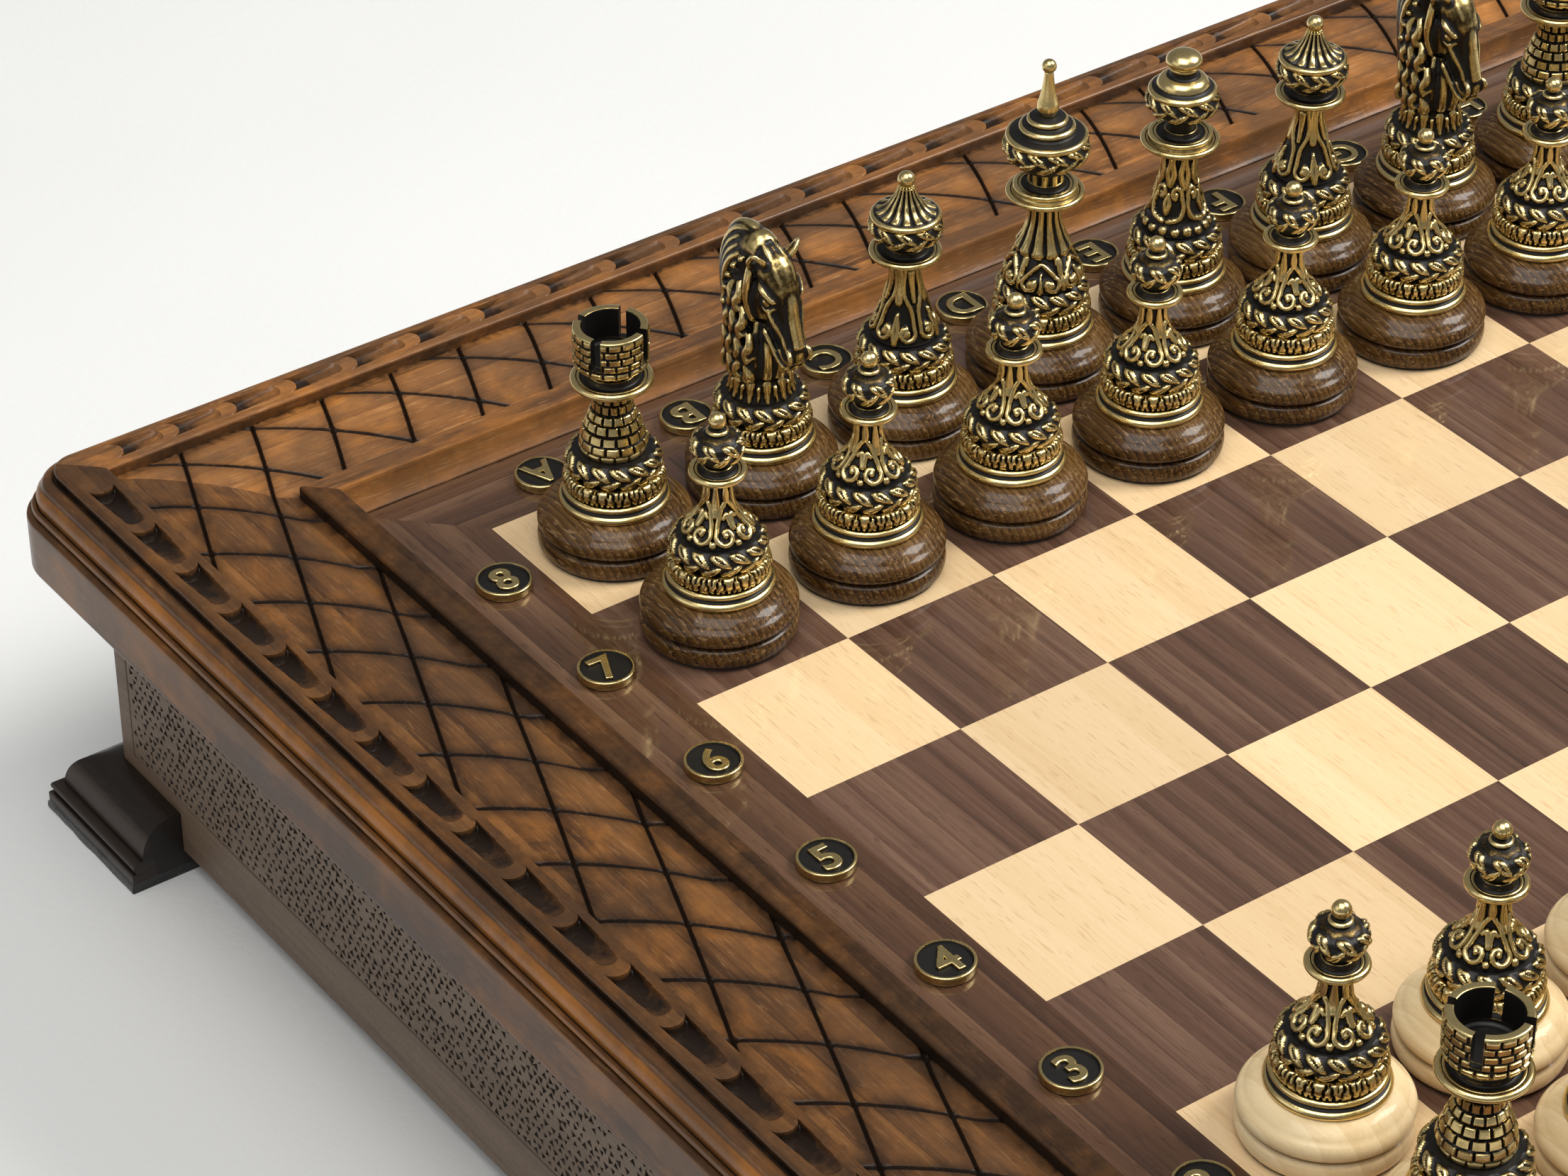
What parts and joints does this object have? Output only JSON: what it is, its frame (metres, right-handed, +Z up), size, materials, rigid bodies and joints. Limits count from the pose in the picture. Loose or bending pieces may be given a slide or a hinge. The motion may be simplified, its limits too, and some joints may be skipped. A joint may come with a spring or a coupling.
{
  "type": "chess_set_with_board",
  "caption": "Chess set: a carved walnut board on corner feet with an inlaid maple and walnut playing surface, and opposing antique brass figures on turned wooden bases.",
  "frame": {"origin": "centre of the square plan, at the level of the table top", "axes": "X runs from the a file to the h file, Y from rank 1 to rank 8, Z up"},
  "size_m": [0.54, 0.54, 0.1979],
  "materials": {
    "carved_walnut": "satin walnut stain",
    "apron_walnut": "satin",
    "foot_walnut": "satin dark stain",
    "core_board": "sawn",
    "maple_veneer": "lacquered",
    "walnut_veneer": "lacquered",
    "antique_brass": "antiqued, polished on the high parts",
    "screw_steel": "zinc plated",
    "black_felt": "felt"
  },
  "bodies": {
    "board": {"apron_panel_a_side": "apron_walnut", "apron_panel_h_side": "apron_walnut", "apron_panel_rank_1_side": "apron_walnut", "apron_panel_rank_8_side": "apron_walnut", "bottom_panel": "core_board", "bottom_screws": "screw_steel", "corner_blocks": "core_board", "corner_foot_a1": "foot_walnut", "corner_foot_a8": "foot_walnut", "corner_foot_h1": "foot_walnut", "corner_foot_h8": "foot_walnut", "dark_squares": "walnut_veneer", "file_letter_medallions": "antique_brass", "foot_felts": "black_felt", "foot_screws": "screw_steel", "frame_rail_a_side": "carved_walnut", "frame_rail_h_side": "carved_walnut", "frame_rail_rank_1_side": "carved_walnut", "frame_rail_rank_8_side": "carved_walnut", "ledge_strip_a_side": "carved_walnut", "ledge_strip_h_side": "carved_walnut", "ledge_strip_rank_1_side": "carved_walnut", "ledge_strip_rank_8_side": "carved_walnut", "light_squares": "maple_veneer", "playing_panel": "core_board", "rank_number_medallions": "antique_brass", "veneer_border": "walnut_veneer"},
    "dark_ball_piece_e": {"dark_ball_piece_e": "antique_brass"},
    "dark_bishop_c": {"dark_bishop_c": "antique_brass"},
    "dark_bishop_f": {"dark_bishop_f": "antique_brass"},
    "dark_knight_b": {"dark_knight_b": "antique_brass"},
    "dark_knight_g": {"dark_knight_g": "antique_brass"},
    "dark_pawn_a": {"dark_pawn_a": "antique_brass"},
    "dark_pawn_b": {"dark_pawn_b": "antique_brass"},
    "dark_pawn_c": {"dark_pawn_c": "antique_brass"},
    "dark_pawn_d": {"dark_pawn_d": "antique_brass"},
    "dark_pawn_e": {"dark_pawn_e": "antique_brass"},
    "dark_pawn_f": {"dark_pawn_f": "antique_brass"},
    "dark_pawn_g": {"dark_pawn_g": "antique_brass"},
    "dark_pawn_h": {"dark_pawn_h": "antique_brass"},
    "dark_rook_a": {"dark_rook_a": "antique_brass"},
    "dark_rook_h": {"dark_rook_h": "antique_brass"},
    "dark_spire_piece_d": {"dark_spire_piece_d": "antique_brass"},
    "light_ball_piece_e": {"light_ball_piece_e": "antique_brass"},
    "light_bishop_c": {"light_bishop_c": "antique_brass"},
    "light_bishop_f": {"light_bishop_f": "antique_brass"},
    "light_knight_b": {"light_knight_b": "antique_brass"},
    "light_knight_g": {"light_knight_g": "antique_brass"},
    "light_pawn_a": {"light_pawn_a": "antique_brass"},
    "light_pawn_b": {"light_pawn_b": "antique_brass"},
    "light_pawn_c": {"light_pawn_c": "antique_brass"},
    "light_pawn_d": {"light_pawn_d": "antique_brass"},
    "light_pawn_e": {"light_pawn_e": "antique_brass"},
    "light_pawn_f": {"light_pawn_f": "antique_brass"},
    "light_pawn_g": {"light_pawn_g": "antique_brass"},
    "light_pawn_h": {"light_pawn_h": "antique_brass"},
    "light_rook_a": {"light_rook_a": "antique_brass"},
    "light_rook_h": {"light_rook_h": "antique_brass"},
    "light_spire_piece_d": {"light_spire_piece_d": "antique_brass"}
  },
  "joints": [
    {"name": "lift_dark_ball_piece_e", "type": "slide", "parent": "board", "child": "dark_ball_piece_e", "axis": [0, 0, 1], "range_m": [0, 0.1]},
    {"name": "lift_dark_bishop_c", "type": "slide", "parent": "board", "child": "dark_bishop_c", "axis": [0, 0, 1], "range_m": [0, 0.1]},
    {"name": "lift_dark_bishop_f", "type": "slide", "parent": "board", "child": "dark_bishop_f", "axis": [0, 0, 1], "range_m": [0, 0.1]},
    {"name": "lift_dark_knight_b", "type": "slide", "parent": "board", "child": "dark_knight_b", "axis": [0, 0, 1], "range_m": [0, 0.1]},
    {"name": "lift_dark_knight_g", "type": "slide", "parent": "board", "child": "dark_knight_g", "axis": [0, 0, 1], "range_m": [0, 0.1]},
    {"name": "lift_dark_pawn_a", "type": "slide", "parent": "board", "child": "dark_pawn_a", "axis": [0, 0, 1], "range_m": [0, 0.1]},
    {"name": "lift_dark_pawn_b", "type": "slide", "parent": "board", "child": "dark_pawn_b", "axis": [0, 0, 1], "range_m": [0, 0.1]},
    {"name": "lift_dark_pawn_c", "type": "slide", "parent": "board", "child": "dark_pawn_c", "axis": [0, 0, 1], "range_m": [0, 0.1]},
    {"name": "lift_dark_pawn_d", "type": "slide", "parent": "board", "child": "dark_pawn_d", "axis": [0, 0, 1], "range_m": [0, 0.1]},
    {"name": "lift_dark_pawn_e", "type": "slide", "parent": "board", "child": "dark_pawn_e", "axis": [0, 0, 1], "range_m": [0, 0.1]},
    {"name": "lift_dark_pawn_f", "type": "slide", "parent": "board", "child": "dark_pawn_f", "axis": [0, 0, 1], "range_m": [0, 0.1]},
    {"name": "lift_dark_pawn_g", "type": "slide", "parent": "board", "child": "dark_pawn_g", "axis": [0, 0, 1], "range_m": [0, 0.1]},
    {"name": "lift_dark_pawn_h", "type": "slide", "parent": "board", "child": "dark_pawn_h", "axis": [0, 0, 1], "range_m": [0, 0.1]},
    {"name": "lift_dark_rook_a", "type": "slide", "parent": "board", "child": "dark_rook_a", "axis": [0, 0, 1], "range_m": [0, 0.1]},
    {"name": "lift_dark_rook_h", "type": "slide", "parent": "board", "child": "dark_rook_h", "axis": [0, 0, 1], "range_m": [0, 0.1]},
    {"name": "lift_dark_spire_piece_d", "type": "slide", "parent": "board", "child": "dark_spire_piece_d", "axis": [0, 0, 1], "range_m": [0, 0.1]},
    {"name": "lift_light_ball_piece_e", "type": "slide", "parent": "board", "child": "light_ball_piece_e", "axis": [0, 0, 1], "range_m": [0, 0.1]},
    {"name": "lift_light_bishop_c", "type": "slide", "parent": "board", "child": "light_bishop_c", "axis": [0, 0, 1], "range_m": [0, 0.1]},
    {"name": "lift_light_bishop_f", "type": "slide", "parent": "board", "child": "light_bishop_f", "axis": [0, 0, 1], "range_m": [0, 0.1]},
    {"name": "lift_light_knight_b", "type": "slide", "parent": "board", "child": "light_knight_b", "axis": [0, 0, 1], "range_m": [0, 0.1]},
    {"name": "lift_light_knight_g", "type": "slide", "parent": "board", "child": "light_knight_g", "axis": [0, 0, 1], "range_m": [0, 0.1]},
    {"name": "lift_light_pawn_a", "type": "slide", "parent": "board", "child": "light_pawn_a", "axis": [0, 0, 1], "range_m": [0, 0.1]},
    {"name": "lift_light_pawn_b", "type": "slide", "parent": "board", "child": "light_pawn_b", "axis": [0, 0, 1], "range_m": [0, 0.1]},
    {"name": "lift_light_pawn_c", "type": "slide", "parent": "board", "child": "light_pawn_c", "axis": [0, 0, 1], "range_m": [0, 0.1]},
    {"name": "lift_light_pawn_d", "type": "slide", "parent": "board", "child": "light_pawn_d", "axis": [0, 0, 1], "range_m": [0, 0.1]},
    {"name": "lift_light_pawn_e", "type": "slide", "parent": "board", "child": "light_pawn_e", "axis": [0, 0, 1], "range_m": [0, 0.1]},
    {"name": "lift_light_pawn_f", "type": "slide", "parent": "board", "child": "light_pawn_f", "axis": [0, 0, 1], "range_m": [0, 0.1]},
    {"name": "lift_light_pawn_g", "type": "slide", "parent": "board", "child": "light_pawn_g", "axis": [0, 0, 1], "range_m": [0, 0.1]},
    {"name": "lift_light_pawn_h", "type": "slide", "parent": "board", "child": "light_pawn_h", "axis": [0, 0, 1], "range_m": [0, 0.1]},
    {"name": "lift_light_rook_a", "type": "slide", "parent": "board", "child": "light_rook_a", "axis": [0, 0, 1], "range_m": [0, 0.1]},
    {"name": "lift_light_rook_h", "type": "slide", "parent": "board", "child": "light_rook_h", "axis": [0, 0, 1], "range_m": [0, 0.1]},
    {"name": "lift_light_spire_piece_d", "type": "slide", "parent": "board", "child": "light_spire_piece_d", "axis": [0, 0, 1], "range_m": [0, 0.1]}
  ]
}
